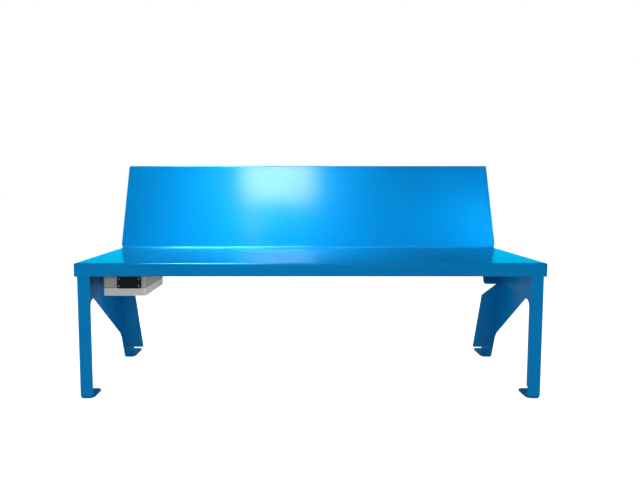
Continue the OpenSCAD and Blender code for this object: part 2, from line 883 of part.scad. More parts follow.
// Lead of diameter d from top down through the box's top, then bent forwards to its terminal
module bent_lead(d, bend, x, top) {
    translate([x, lead_y, lead_turn_z + bend]) cylinder(d = d, h = top - lead_turn_z - bend);
    translate([x, lead_y - bend, lead_turn_z + bend]) rotate([0, 90, 0])
        rotate_extrude(angle = 90) translate([bend, 0]) circle(d = d);
    translate([x, lead_end_y, lead_turn_z]) rotate([-90, 0, 0])
        cylinder(d = d, h = lead_y - bend - lead_end_y);
}

module heater_lead() {
    color(rubber_colour) place()
        bent_lead(heater_lead_d, heater_bend, heater_lead_x, mat_bottom - socket_floor - slide_fit);
}

module sensor_lead() {
    color(rubber_colour) place()
        bent_lead(sensor_lead_d, sensor_bend, sensor_lead_x, mat_bottom - socket_floor - slide_fit);
}

module lead_bush(lead_d, x) {
    outer = lead_d + 2 * bush_wall;
    translate([x, lead_y, bush_low]) difference() {
        union() {
            cylinder(d = outer, h = bush_top - bush_low);
            cylinder(d = outer + 2 * bush_flange_w, h = bush_flange_t);
        }
        translate([0, 0, -over]) cylinder(d = lead_d + slide_fit, h = board_t);
    }
}

module lead_bushes() {
    color(rubber_colour) place() {
        lead_bush(heater_lead_d, heater_lead_x);
        lead_bush(sensor_lead_d, sensor_lead_x);
    }
}

// Outline of the box, pulled in by inset
module box_outline(inset) {
    rounded_rect(box_left + inset, box_y + inset, box_right - inset, box_back - inset, box_r - inset / 2);
}

// Repeats its children at each corner pillar of the box
module at_pillars() {
    for (sx = [-1, 1]) {
        for (sy = [-1, 1]) {
            translate([box_mid_x + sx * (box_w / 2 - pillar_in), box_mid_y + sy * (box_l / 2 - pillar_in), 0])
                children();
        }
    }
}

// Repeats its children at each boss that carries the chassis plate
module at_bosses() {
    for (sx = [-1, 1]) {
        for (sy = [-1, 1]) {
            translate([box_mid_x + sx * chassis_screw_dx, box_mid_y + sy * chassis_screw_dy, 0]) children();
        }
    }
}

module control_box_body() {
    color(box_colour) place() difference() {
        union() {
            difference() {
                translate([0, 0, body_bottom]) linear_extrude(box_body_h) box_outline(0);
                translate([0, 0, body_bottom - over]) linear_extrude(box_body_h - box_wall + over)
                    box_outline(box_wall);
            }
            at_pillars() translate([0, 0, body_bottom]) cylinder(d = pillar_d, h = box_body_h - over);
            at_bosses() translate([0, 0, chassis_top]) cylinder(d = boss_d, h = boss_h + over);
        }
        at_pillars() translate([0, 0, body_bottom - over])
            cylinder(d = lid_screw_d + slide_fit, h = over + lid_screw_bite + hole_slack);
        at_bosses() translate([0, 0, chassis_top - over])
            cylinder(d = chassis_screw_d + slide_fit, h = boss_h + over);
        at_box_screws() translate([0, 0, -box_wall - over])
            cylinder(d = box_screw_d + hole_slack, h = box_wall + 2 * over);
        lead_bores(heater_bush_d, sensor_bush_d, box_top - box_wall - over, box_wall + 2 * over);
        translate([plate_mid_x - window_w / 2, box_y - over, plate_mid_z - window_h / 2])
            cube([window_w, box_wall + 2 * over, window_h]);
        at_plate_screws() translate([0, box_wall, 0]) rotate([90, 0, 0])
            translate([0, 0, -over]) cylinder(d = plate_screw_d + slide_fit, h = box_wall + 2 * over);
        translate([gland_x, box_back - box_wall - over, gland_z]) rotate([-90, 0, 0])
            cylinder(d = gland_d + slide_fit, h = box_wall + 2 * over);
    }
}

module control_box_lid() {
    color(box_colour) place() difference() {
        union() {
            difference() {
                translate([0, 0, lid_bottom]) linear_extrude(box_lid_h) box_outline(0);
                translate([0, 0, lid_bottom + box_wall]) linear_extrude(box_lid_h) box_outline(box_wall);
                for (i = [1:lid_groove_count]) {
                    translate([0, 0, lid_bottom + i * box_lid_h / (lid_groove_count + 1) - lid_groove_w / 2])
                        linear_extrude(lid_groove_w) difference() {
                            box_outline(-over);
                            box_outline(lid_groove_deep);
                        }
                }
            }
            at_pillars() translate([0, 0, lid_bottom + over]) cylinder(d = pillar_d, h = box_lid_h - over);
        }
        at_pillars() translate([0, 0, lid_bottom - over]) {
            cylinder(d = lid_screw_d + hole_slack, h = box_lid_h + 2 * over);
            cylinder(d = lid_screw_head_d + hole_slack, h = lid_screw_head_h + over);
        }
    }
}

module lid_gasket() {
    color(rubber_colour) place() translate([0, 0, lid_top]) linear_extrude(gasket_t) difference() {
        box_outline(gasket_inset);
        box_outline(box_wall);
        at_pillars() circle(d = lid_screw_d + hole_slack);
    }
}

module lid_screws() {
    length = box_lid_h + gasket_t + lid_screw_bite - lid_screw_head_h;
    color(zinc_colour) place() at_pillars() translate([0, 0, lid_bottom]) {
        difference() {
            cylinder(d = lid_screw_head_d, h = lid_screw_head_h);
            translate([0, 0, -over])
                cylinder(d = lid_screw_d * hex_key_ratio, h = over + lid_screw_head_h / 2, $fn = 6);
        }
        translate([0, 0, lid_screw_head_h - over]) cylinder(d = lid_screw_d, h = length + over);
    }
}

// Repeats its children at each front plate screw, y = 0 at the front of the box
module at_plate_screws() {
    for (sx = [-1, 1]) {
        for (sz = [-1, 1]) {
            translate([plate_mid_x + sx * plate_screw_dx / 2, box_y, plate_mid_z + sz * plate_screw_dz / 2])
                children();
        }
    }
}

// Plate of the front window, from the box's face outwards
module window_plate(thickness) {
    translate([plate_mid_x, box_y, plate_mid_z]) rotate([90, 0, 0]) linear_extrude(thickness)
        rounded_rect(-plate_w / 2, -plate_h / 2, plate_w / 2, plate_h / 2, plate_r);
}

module front_plate() {
    color(black_colour) place() difference() {
        translate([0, -plate_gasket_t, 0]) window_plate(plate_t);
        at_plate_screws() rotate([90, 0, 0]) translate([0, 0, plate_gasket_t - over])
            cylinder(d = plate_screw_d + slide_fit, h = plate_t + 2 * over);
    }
}

module front_plate_gasket() {
    color(rubber_colour) place() difference() {
        window_plate(plate_gasket_t);
        translate([plate_mid_x - window_w / 2, box_y - plate_gasket_t - over, plate_mid_z - window_h / 2])
            cube([window_w, plate_gasket_t + 2 * over, window_h]);
        at_plate_screws() rotate([90, 0, 0]) translate([0, 0, -over])
            cylinder(d = plate_screw_d + slide_fit, h = plate_gasket_t + 2 * over);
    }
}

module front_plate_screws() {
    face = plate_gasket_t + plate_t;
    color(zinc_colour) place() at_plate_screws() rotate([90, 0, 0]) {
        translate([0, 0, face])
            cylinder(d1 = plate_screw_head_d, d2 = plate_screw_top_d, h = plate_screw_head_h);
        translate([0, 0, -box_wall - plate_screw_past])
            cylinder(d = plate_screw_d, h = face + box_wall + plate_screw_past + over);
    }
}

// Places its children on the supply gland's axis, z = 0 at the back of the box, pointing outwards
module at_gland() {
    translate([gland_x, box_back, gland_z]) rotate([-90, 0, 0]) children();
}

module gland_body() {
    color(black_colour) place() at_gland() difference() {
        union() {
            translate([0, 0, -gland_thread]) cylinder(d = gland_d, h = gland_thread + over);
            cylinder(d = gland_hex / cos(30), h = gland_hex_h, $fn = 6);
            cylinder(d = gland_d, h = gland_hex_h + gland_neck_h);
        }
        translate([0, 0, -gland_thread - over])
            cylinder(d = gland_bore, h = gland_thread + gland_hex_h + gland_neck_h + 2 * over);
        translate([0, 0, gland_hex_h])
            cylinder(d = gland_bore + 2 * seal_wall + slide_fit, h = gland_neck_h + over);
    }
}

module gland_locknut() {
    color(black_colour) place() at_gland() translate([0, 0, -box_wall - gland_nut_h])
        hex_nut(gland_hex, gland_nut_h, gland_d + slide_fit);
}

module gland_seal() {
    color(rubber_colour) place() at_gland() translate([0, 0, gland_hex_h]) difference() {
        cylinder(d = gland_bore + 2 * seal_wall, h = gland_neck_h);
        translate([0, 0, -over]) cylinder(d = gland_bore, h = gland_neck_h + 2 * over);
    }
}

module gland_cap() {
    color(black_colour) place() at_gland() translate([0, 0, gland_hex_h + slide_fit]) difference() {
        union() {
            cylinder(d = gland_hex / cos(30), h = gland_cap_hex_h, $fn = 6);
            cylinder(d = gland_hex, h = gland_cap_rim_h);
            translate([0, 0, gland_cap_rim_h])
                cylinder(d1 = gland_hex, d2 = gland_cap_top_d, h = gland_cap_h - gland_cap_rim_h);
        }
        translate([0, 0, -over]) cylinder(d = gland_d + slide_fit, h = gland_neck_h + over);
        cylinder(d = gland_bore, h = gland_cap_h + over);
    }
}

module chassis_plate() {
    color(zinc_colour) place() translate([0, 0, chassis_bottom]) linear_extrude(chassis_t) difference() {
        rounded_rect(box_mid_x - chassis_w / 2, box_mid_y - chassis_l / 2,
            box_mid_x + chassis_w / 2, box_mid_y + chassis_l / 2, chassis_r);
        at_bosses() circle(d = chassis_screw_d + hole_slack);
        translate([heater_lead_x, lead_y]) circle(d = heater_lead_d + lead_slack);
        translate([sensor_lead_x, lead_y]) circle(d = sensor_lead_d + lead_slack);
    }
}

module chassis_screws() {
    color(zinc_colour) place() at_bosses() {
        translate([0, 0, chassis_bottom - chassis_screw_head_h])
            cylinder(d = chassis_screw_head_d, h = chassis_screw_head_h);
        translate([0, 0, chassis_bottom - over])
            cylinder(d = chassis_screw_d, h = over + chassis_t + boss_h - chassis_screw_spare);
    }
}

module terminal_block() {
    color(terminal_colour) place() difference() {
        translate([box_mid_x - terminal_l / 2, terminal_y - terminal_w / 2, chassis_bottom - terminal_h])
            cube([terminal_l, terminal_w, terminal_h]);
        for (i = [0:terminal_ways - 1]) {
            translate([box_mid_x + (i + 0.5) * terminal_pitch - terminal_l / 2, terminal_y, 0]) {
                translate([0, 0, chassis_bottom - terminal_h - over])
                    cylinder(d = terminal_screw_d, h = over + terminal_screw_deep);
                translate([0, -terminal_w, lead_turn_z]) rotate([-90, 0, 0])
                    cylinder(d = terminal_way_d, h = 2 * terminal_w);
            }
        }
    }
}

module power_relay() {
    color(black_colour) place()
        translate([relay_x, relay_y, chassis_bottom - relay_h]) linear_extrude(relay_h)
        rounded_rect(-relay_w / 2, -relay_l / 2, relay_w / 2, relay_l / 2, relay_r);
}

// Repeats its children at each corner of the circuit board, z = 0 at the chassis plate
module at_circuit_corners() {
    for (sx = [-1, 1]) {
        for (sy = [-1, 1]) {
            translate([circuit_x + sx * (circuit_w / 2 - circuit_inset),
                circuit_y + sy * (circuit_l / 2 - circuit_inset), chassis_bottom]) children();
        }
    }
}

module board_standoffs() {
    color(zinc_colour) place() at_circuit_corners() translate([0, 0, -standoff_h])
        cylinder(d = standoff_d / cos(30), h = standoff_h, $fn = 6);
}

module thermostat_board() {
    low = chassis_bottom - standoff_h - circuit_t;
    color(circuit_colour) place() {
        difference() {
            translate([circuit_x - circuit_w / 2, circuit_y - circuit_l / 2, low])
                cube([circuit_w, circuit_l, circuit_t]);
            at_circuit_corners() translate([0, 0, -standoff_h - circuit_t - over])
                cylinder(d = circuit_hole_d, h = circuit_t + 2 * over);
        }
        translate([circuit_x - transformer[0] / 2, transformer_y - transformer[1] / 2,
            low - transformer[2]]) cube(transformer);
        translate([circuit_x - plug_strip[0] / 2, plug_strip_y, low - plug_strip[2]])
            cube(plug_strip);
        translate([circuit_x, capacitor_y, low - capacitor_h])
            cylinder(d = capacitor_d, h = capacitor_h);
    }
}

module board_screws() {
    color(zinc_colour) place() at_circuit_corners()
        translate([0, 0, -standoff_h - circuit_t - circuit_screw_head_h]) {
            cylinder(d = circuit_screw_head_d, h = circuit_screw_head_h);
            cylinder(d = circuit_screw_d, h = circuit_screw_head_h + circuit_t);
        }
}

seat_back_shell();
left_leg_frame();
right_leg_frame();
leg_studs();
leg_washers();
leg_nuts();
heating_mat();
heater_connection_patch();
thermal_cutout();
temperature_sensor();
insulation_board();
bottom_cover();
cover_studs();
cover_nuts();
heater_lead();
sensor_lead();
lead_bushes();
control_box_body();
control_box_lid();
lid_gasket();
lid_screws();
box_screws();
box_rivet_nuts();
front_plate();
front_plate_gasket();
front_plate_screws();
gland_body();
gland_locknut();
gland_seal();
gland_cap();
chassis_plate();
chassis_screws();
terminal_block();
power_relay();
thermostat_board();
board_standoffs();
board_screws();
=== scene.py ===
"""Camera, studio, materials and fine pieces for the heated bench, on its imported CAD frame."""
import math

import bmesh
import bpy
from mathutils import Matrix, Vector


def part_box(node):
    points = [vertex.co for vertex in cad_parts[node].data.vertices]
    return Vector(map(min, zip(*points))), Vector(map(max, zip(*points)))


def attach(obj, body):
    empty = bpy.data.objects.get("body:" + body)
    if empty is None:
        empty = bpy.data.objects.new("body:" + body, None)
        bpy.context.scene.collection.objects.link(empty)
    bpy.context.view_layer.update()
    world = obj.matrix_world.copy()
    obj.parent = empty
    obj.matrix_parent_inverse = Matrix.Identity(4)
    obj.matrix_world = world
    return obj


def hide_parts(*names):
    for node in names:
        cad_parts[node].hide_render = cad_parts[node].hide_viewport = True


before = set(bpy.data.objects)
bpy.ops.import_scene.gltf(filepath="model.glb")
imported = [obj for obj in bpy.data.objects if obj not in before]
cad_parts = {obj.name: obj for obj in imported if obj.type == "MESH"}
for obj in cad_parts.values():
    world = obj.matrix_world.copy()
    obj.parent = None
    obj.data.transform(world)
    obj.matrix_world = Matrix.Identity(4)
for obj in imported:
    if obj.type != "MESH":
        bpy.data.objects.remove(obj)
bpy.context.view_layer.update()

MM = 0.001
PHOTO_WIDTH = 640
PHOTO_HEIGHT = 480

# Camera, as fitted to the bench's corners in the photograph
FOCAL_PX = 503.0
AXIS_PX = (299.69, 226.87)
SENSOR_MM = 36.0
CAMERA_PLACE = (-0.0343, -1.8669, 0.6754)
CAMERA_PITCH_DOWN = 4.15

# Lamps as (name, place, aim, width, height, watts, spread in degrees, light it gives).
# A "diffuse" lamp shows in no reflection, and a "gloss" lamp in nothing else.
SOFTBOXES = (
    ("key", (-0.22, -1.52, 2.35), (-0.10, 0.24, 0.72), 0.64, 0.42, 0.92, 26.0, "both"),
    ("tail", (-0.49, -2.12, 2.35), (-0.23, 0.19, 0.57), 0.13, 0.44, 0.03, 22.0, "both"),
    ("line", (-0.66, 0.02, 2.20), (-0.38, -0.02, 0.45), 0.5, 0.7, 20.0, 50.0, "gloss"),
    ("pool", (-0.26, -0.85, 3.0), (-0.22, 0.15, 0.53), 0.5, 0.4, 2.90, 24.0, "diffuse"),
    ("overhead", (0.0, -0.7, 3.2), (0.0, 0.0, 0.4), 3.2, 2.2, 30.0, 180.0, "both"),
    ("front", (0.0, -3.2, 1.15), (0.0, 0.0, 0.35), 2.4, 0.5, 23.0, 180.0, "both"),
    ("strip_left", (-3.2, -0.95, 0.5), (0.7, 0.0, 0.3), 0.5, 0.5, 38.0, 180.0, "diffuse"),
    ("strip_right", (3.2, -0.95, 0.5), (-0.7, 0.0, 0.3), 0.5, 0.5, 33.0, 180.0, "diffuse"),
    ("rear", (0.0, 3.2, 0.9), (0.0, 0.2, 0.45), 2.4, 1.0, 26.0, 180.0, "diffuse"),
    ("accent", (2.6, -1.5, 1.1), (0.74, 0.17, 0.53), 0.3, 0.3, 0.75, 13.0, "diffuse"),
)
# Cool lamps keep the paint blue in its reflections; the key is a little warmer than its pool.
WHITE = (1.0, 1.0, 1.0)
LAMP_COLOURS = {
    "key": (1.0, 0.83, 0.92),
    "line": (0.15, 0.80, 1.0),
    "pool": (0.80, 1.0, 0.92),
    "overhead": (0.60, 1.0, 0.96),
}
AMBIENT = 0.10

# The room as reflections see it: dark, with a bright band low behind the bench
ROOM_DARK = (0.03, 0.03, 0.03)
ROOM_BAND = (0.0, 1.05, 1.70)
BAND_BEHIND = (-0.10, 0.35)
BAND_TOP = (0.20, 0.30)

# The floor: its size, its albedo as it lights the bench, its own glow and lit albedo for the
# camera, and its colour in reflections
FLOOR_HALF = 30.0
FLOOR_ALBEDO = 0.8
FLOOR_GLOW = 0.97
FLOOR_LIT = 0.55
FLOOR_IN_GLOSS = (0.20, 0.25, 0.28)

# Nodes with a finish other than their material slot's. The lid's is a lighter copy of the
# enclosure grey, as painted light: the lid lit below the apron while the body lies in the apron's
# shade
OWN_FINISH = {"control_box_lid": "painted_lit_lid_grey"}

# The bench's blue, between its two tones, and plain values of the powder coat and the metals
BLUE_DEEP = (0.0005, 0.200, 0.520)
BLUE_PALE = (0.0012, 0.232, 0.585)
POWDER_COAT = {
    "Specular IOR Level": 0.32,
    "Specular Tint": (0.01, 0.20, 0.20, 1.0),
    "Coat Weight": 0.20,
    "Coat Roughness": 0.14,
}
METAL = {"Metallic": 1.0}

# How far a moulded piece's roughness goes below and above its own value
SMOOTHER = 0.05
ROUGHER = 0.06

# Moulded plastics and rubber, by material slot:
# (name, darker tone, lighter tone, roughness, grain in metres, its depth in metres, its strength)
MOULDED = {
    "box_grey": ("enclosure_grey", (0.48, 0.415, 0.380), (0.60, 0.525, 0.480),
                 0.5, 0.0009, 0.00006, 0.4),
    # painted light: a lit copy of the enclosure grey, for the lid below the apron's shade
    "painted_lit_lid_grey": ("painted_lit_lid_grey", (0.90, 0.805, 0.780), (0.97, 0.885, 0.860),
                 0.45, 0.0009, 0.00006, 0.4),
    "gloss_black": ("gloss_black", (0.0010, 0.0008, 0.0008), (0.0030, 0.0022, 0.0018),
                    0.14, 0.0012, 0.00001, 0.15),
    "black_plastic": ("black_plastic", (0.012, 0.012, 0.013), (0.022, 0.022, 0.024),
                      0.48, 0.0007, 0.00005, 0.4),
    "black_rubber": ("black_rubber", (0.010, 0.010, 0.010), (0.018, 0.018, 0.017),
                     0.78, 0.0005, 0.00006, 0.4),
    "grey_plastic": ("terminal_grey", (0.40, 0.40, 0.39), (0.48, 0.48, 0.47),
                     0.5, 0.0006, 0.00004, 0.4),
}

# Cross-slot screws of the front plate. HAIR is the tolerance in metres for points on a plane, and
# LEVEL the least upward share of the normal of a face that lies flat.
HAIR = 1e-6
LEVEL = 0.99
SCREW_SIDES = 32
SCREW_HEAD_R = 3.25 * MM
SCREW_TOP_R = 2.8 * MM
SCREW_HEAD_H = 2.0 * MM
SCREW_ROUND = 0.8 * MM
SCREW_ROUND_STEPS = 4
SCREW_SHANK_R = 1.75 * MM
SLOT_HALF_W = 0.4 * MM
SLOT_HALF_L = 1.7 * MM
SLOT_DEPTH = 1.2 * MM


# ---------------------------------------------------------------- node helpers

def add(tree, kind, **values):
    """A node of that kind with its inputs set by name."""
    node = tree.nodes.new(kind)
    for name, value in values.items():
        node.inputs[name.replace("_", " ")].default_value = value
    return node


def coordinates(tree, stretch=(1.0, 1.0, 1.0)):
    """Object coordinates in metres, stretched per axis."""
    source = tree.nodes.new("ShaderNodeTexCoord")
    mapping = tree.nodes.new("ShaderNodeMapping")
    mapping.inputs["Scale"].default_value = stretch
    tree.links.new(source.outputs["Object"], mapping.inputs["Vector"])
    return mapping.outputs["Vector"]


def noise(tree, vector, size, detail=3.0, rough=0.5, distortion=0.0):
    """Noise whose grains are about size metres across."""
    node = add(tree, "ShaderNodeTexNoise", Scale=1.0 / size, Detail=detail, Roughness=rough,
               Distortion=distortion)
    tree.links.new(vector, node.inputs["Vector"])
    return node.outputs["Fac"]


def cells(tree, vector, size, feature="F1", output="Distance"):
    """Voronoi cells about size metres across."""
    node = add(tree, "ShaderNodeTexVoronoi", Scale=1.0 / size)
    node.feature = feature
    tree.links.new(vector, node.inputs["Vector"])
    return node.outputs[output]


def mapped(tree, value, low, high, from_low=0.0, from_high=1.0):
    """A value mapped from one range to another."""
    node = add(tree, "ShaderNodeMapRange")
    node.inputs["From Min"].default_value = from_low
    node.inputs["From Max"].default_value = from_high
    node.inputs["To Min"].default_value = low
    node.inputs["To Max"].default_value = high
    tree.links.new(value, node.inputs["Value"])
    return node.outputs["Result"]


def blended(tree, factor, first, second):
    """A colour between two, by factor."""
    node = tree.nodes.new("ShaderNodeMix")
    node.data_type = "RGBA"
    colours = [s for s in node.inputs if s.type == "RGBA"]
    for socket, value in zip(colours, (first, second)):
        if isinstance(value, tuple):
            socket.default_value = (*value, 1.0)
        else:
            tree.links.new(value, socket)
    tree.links.new(factor, node.inputs["Factor"])
    return next(s for s in node.outputs if s.type == "RGBA")


def bumped(tree, shader, heights):
    """Bumps chained on the shader, from a list of (value socket, depth in metres, strength)."""
    normal = None
    for value, depth, strength in heights:
        node = add(tree, "ShaderNodeBump", Strength=strength, Distance=depth)
        tree.links.new(value, node.inputs["Height"])
        if normal:
            tree.links.new(normal, node.inputs["Normal"])
        normal = node.outputs["Normal"]
    tree.links.new(normal, shader.inputs["Normal"])


def finish_of(name, values):
    """A new material with its tree and shader, and the plain values set on the shader."""
    material = bpy.data.materials.new(name)
    material.use_nodes = True
    tree = material.node_tree
    shader = tree.nodes["Principled BSDF"]
    for key, value in values.items():
        shader.inputs[key].default_value = value
    return material, tree, shader


def paint_in(tree, shader, factor, first, second):
    """Base colour between two tones."""
    tree.links.new(blended(tree, factor, first, second), shader.inputs["Base Color"])


# ---------------------------------------------------------------- materials

def powder_coat():
    """Glossy blue powder coat: fine orange peel and the faint thick and thin of a sprayed film."""
    material, tree, shader = finish_of("powder_coat_blue", POWDER_COAT)
    vector = coordinates(tree)
    drift = noise(tree, vector, size=0.35, rough=0.55)
    paint_in(tree, shader, drift, BLUE_DEEP, BLUE_PALE)
    film = noise(tree, vector, size=0.18)
    tree.links.new(mapped(tree, film, low=0.205, high=0.235), shader.inputs["Roughness"])
    peel = noise(tree, vector, size=0.0022, detail=2.0, rough=0.4)
    dust = noise(tree, vector, size=0.0006, detail=1.0)
    bumped(tree, shader, [(peel, 0.00003, 0.35), (dust, 0.00001, 0.25)])
    return material


def galvanised():
    """Zinc coated steel with its spangle."""
    material, tree, shader = finish_of("galvanised_steel", METAL)
    vector = coordinates(tree)
    spangle = cells(tree, vector, size=0.009, output="Color")
    tone = noise(tree, vector, size=0.03, detail=4.0)
    grey = add(tree, "ShaderNodeRGBToBW")
    tree.links.new(spangle, grey.inputs["Color"])
    paint_in(tree, shader, grey.outputs["Val"], (0.42, 0.44, 0.46), (0.66, 0.68, 0.70))
    tree.links.new(mapped(tree, tone, low=0.34, high=0.56), shader.inputs["Roughness"])
    grain = noise(tree, vector, size=0.002)
    bumped(tree, shader, [(grey.outputs["Val"], 0.00003, 0.3), (grain, 0.00002, 0.3)])
    return material


def stainless():
    """Turned stainless steel with fine tool marks."""
    material, tree, shader = finish_of("stainless_steel", METAL)
    vector = coordinates(tree)
    tone = noise(tree, vector, size=0.004, detail=4.0)
    paint_in(tree, shader, tone, (0.60, 0.60, 0.59), (0.78, 0.78, 0.77))
    tree.links.new(mapped(tree, tone, low=0.18, high=0.34), shader.inputs["Roughness"])
    marks = noise(tree, vector, size=0.0004, detail=2.0)
    bumped(tree, shader, [(marks, 0.00001, 0.3)])
    return material


def moulded(name, darker, lighter, roughness, grain, depth, strength):
    """Moulded plastic or rubber: a fine grain of the mould, and a little change of tone."""
    material, tree, shader = finish_of(name, {})
    vector = coordinates(tree)
    paint_in(tree, shader, noise(tree, vector, size=0.03, detail=4.0), darker, lighter)
    rubbed = noise(tree, vector, size=0.01)
    sheen = mapped(tree, rubbed, low=roughness - SMOOTHER, high=roughness + ROUGHER)
    tree.links.new(sheen, shader.inputs["Roughness"])
    bumped(tree, shader, [(cells(tree, vector, grain), depth, strength)])
    return material


def silicone():
    """Red silicone with the weave of its glass cloth showing through."""
    material, tree, shader = finish_of("silicone_mat", {"Roughness": 0.62})
    vector = coordinates(tree)
    tone = noise(tree, vector, size=0.04, detail=4.0)
    paint_in(tree, shader, tone, (0.42, 0.055, 0.03), (0.52, 0.08, 0.045))
    heights = []
    for axis in ("X", "Y"):
        wave = add(tree, "ShaderNodeTexWave", Scale=320.0, Distortion=0.6, Detail=1.0)
        wave.bands_direction = axis
        tree.links.new(vector, wave.inputs["Vector"])
        heights.append((wave.outputs["Fac"], 0.0001, 0.4))
    bumped(tree, shader, heights)
    return material


def mineral():
    """Pressed mineral fibre board."""
    material, tree, shader = finish_of("mineral_fibre", {"Roughness": 0.9})
    vector = coordinates(tree, stretch=(1.0, 1.0, 4.0))
    fibre = noise(tree, vector, size=0.003, detail=6.0, rough=0.7, distortion=1.5)
    paint_in(tree, shader, fibre, (0.38, 0.33, 0.22), (0.62, 0.57, 0.42))
    bumped(tree, shader, [(fibre, 0.0006, 0.7)])
    return material


def circuit():
    """Green board with its tracks."""
    material, tree, shader = finish_of("circuit_board", {"Roughness": 0.38})
    vector = coordinates(tree)
    traces = cells(tree, vector, size=0.004, feature="DISTANCE_TO_EDGE")
    track = mapped(tree, traces, low=0.0, high=1.0, from_low=0.04, from_high=0.08)
    paint_in(tree, shader, track, (0.02, 0.16, 0.07), (0.008, 0.09, 0.035))
    bumped(tree, shader, [(track, 0.00004, 0.6)])
    return material


def make_materials():
    """Every finish by the record's slot name, or by the name in OWN_FINISH."""
    finishes = {slot: moulded(*values) for slot, values in MOULDED.items()}
    finishes["blue_paint"] = powder_coat()
    finishes["zinc"] = galvanised()
    finishes["stainless"] = stainless()
    finishes["red_silicone"] = silicone()
    finishes["mineral_board"] = mineral()
    finishes["circuit_board"] = circuit()
    return finishes


def dress_nodes(finishes):
    """Each CAD node takes its slot's finish, or the one that OWN_FINISH gives it."""
    for name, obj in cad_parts.items():
        for slot in obj.material_slots:
            slot.material = finishes[OWN_FINISH.get(name, slot.material.name.split(".")[0])]


# ---------------------------------------------------------------- fine pieces

def to_a_hair(point):
    """A point's place in whole hairs, to sort by."""
    return [round(value / HAIR) for value in point]


def in_order(shape):
    """Sorts a shape by place, because a cut leaves its parts in another order each run."""
    verts = sorted(shape.verts, key=lambda vert: to_a_hair(vert.co))
    faces = sorted(shape.faces, key=lambda face: sorted(to_a_hair(v.co) for v in face.verts))
    for parts, sequence in ((verts, shape.verts), (faces, shape.faces)):
        for index, part in enumerate(parts):
            part.index = index
        sequence.sort()


def solid_piece(name, shape, finish):
    """A finished piece that rides with the bench, from a closed bmesh."""
    bmesh.ops.recalc_face_normals(shape, faces=shape.faces[:])
    in_order(shape)
    mesh = bpy.data.meshes.new(name)
    shape.to_mesh(mesh)
    shape.free()
    mesh.materials.append(finish)
    piece = bpy.data.objects.new(name, mesh)
    bpy.context.collection.objects.link(piece)
    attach(piece, "root")
    return piece


def pan_head(shape):
    """A pan head that stands on z = 0: its flat top is cut along the cross slot, which is sunk."""
    bmesh.ops.create_cone(shape, cap_ends=True, segments=SCREW_SIDES, radius1=SCREW_HEAD_R,
                          radius2=SCREW_TOP_R, depth=SCREW_HEAD_H,
                          matrix=Matrix.Translation((0.0, 0.0, SCREW_HEAD_H / 2)))
    rim = [edge for edge in shape.edges if all(v.co.z > SCREW_HEAD_H - HAIR for v in edge.verts)]
    bmesh.ops.bevel(shape, geom=rim, offset=SCREW_ROUND, segments=SCREW_ROUND_STEPS, profile=0.5,
                    affect="EDGES", material=-1)
    for axis in (Vector((1.0, 0.0, 0.0)), Vector((0.0, 1.0, 0.0))):
        for distance in (-SLOT_HALF_L, -SLOT_HALF_W, SLOT_HALF_W, SLOT_HALF_L):
            top = flat_top(shape)
            edges = [edge for face in top for edge in face.edges]
            verts = [vert for face in top for vert in face.verts]
            geom = list(dict.fromkeys([*verts, *edges, *top]))
            bmesh.ops.bisect_plane(shape, geom=geom, dist=HAIR, plane_co=axis * distance,
                                   plane_no=axis)
    slot = [face for face in flat_top(shape) if in_cross(face.calc_center_median())]
    sunk = bmesh.ops.extrude_face_region(shape, geom=slot)["geom"]
    bmesh.ops.delete(shape, geom=[face for face in slot if face.is_valid], context="FACES")
    floor = [vert for vert in sunk if isinstance(vert, bmesh.types.BMVert)]
    bmesh.ops.translate(shape, verts=floor, vec=(0.0, 0.0, -SLOT_DEPTH))


def flat_top(shape):
    """The faces of the head's flat top."""
    shape.normal_update()
    return [face for face in shape.faces
            if face.normal.z > LEVEL and face.calc_center_median().z > SCREW_HEAD_H - HAIR]


def in_cross(point):
    """Whether a point of the head lies in the cross slot."""
    narrow, wide = sorted((abs(point.x), abs(point.y)))
    return narrow < SLOT_HALF_W and wide < SLOT_HALF_L


def plate_screws(finish):
    """The front plate's four cross-slot screws with their shanks, where the node's screws are."""
    low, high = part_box("front_plate_screws")
    face = low.y + SCREW_HEAD_H
    shape = bmesh.new()
    pan_head(shape)
    length = high.y - face
    bmesh.ops.create_cone(shape, cap_ends=True, segments=SCREW_SIDES,
                          radius1=SCREW_SHANK_R, radius2=SCREW_SHANK_R, depth=length,
                          matrix=Matrix.Translation((0.0, 0.0, -length / 2)))
    bmesh.ops.rotate(shape, verts=shape.verts, matrix=Matrix.Rotation(math.radians(90.0), 3, "X"))
    first = shape.verts[:]
    whole = [*first, *shape.edges[:], *shape.faces[:]]
    for x in (low.x + SCREW_HEAD_R, high.x - SCREW_HEAD_R):
        for z in (low.z + SCREW_HEAD_R, high.z - SCREW_HEAD_R):
            copy = bmesh.ops.duplicate(shape, geom=whole)["geom"]
            verts = [vert for vert in copy if isinstance(vert, bmesh.types.BMVert)]
            bmesh.ops.translate(shape, verts=verts, vec=(x, face, z))
    bmesh.ops.delete(shape, geom=first, context="VERTS")
    piece = solid_piece("plate_screws_cross_slot", shape, finish)
    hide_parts("front_plate_screws")


# ---------------------------------------------------------------- studio

def look_at(obj, target):
    """Turns a lamp to its aim."""
    direction = Vector(target) - obj.location
    obj.rotation_euler = direction.to_track_quat("-Z", "Y").to_euler()


def make_lights():
    """Every lamp of the list, hidden from the camera."""
    for name, place, aim, width, height, watts, spread, light in SOFTBOXES:
        lamp = bpy.data.lights.new(name, "AREA")
        lamp.shape = "RECTANGLE"
        lamp.size = width
        lamp.size_y = height
        lamp.energy = watts
        lamp.color = LAMP_COLOURS.get(name, WHITE)
        lamp.spread = math.radians(spread)
        obj = bpy.data.objects.new(name, lamp)
        obj.location = place
        obj.visible_camera = False
        obj.visible_glossy = light != "diffuse"
        obj.visible_diffuse = light != "gloss"
        look_at(obj, aim)
        bpy.context.collection.objects.link(obj)


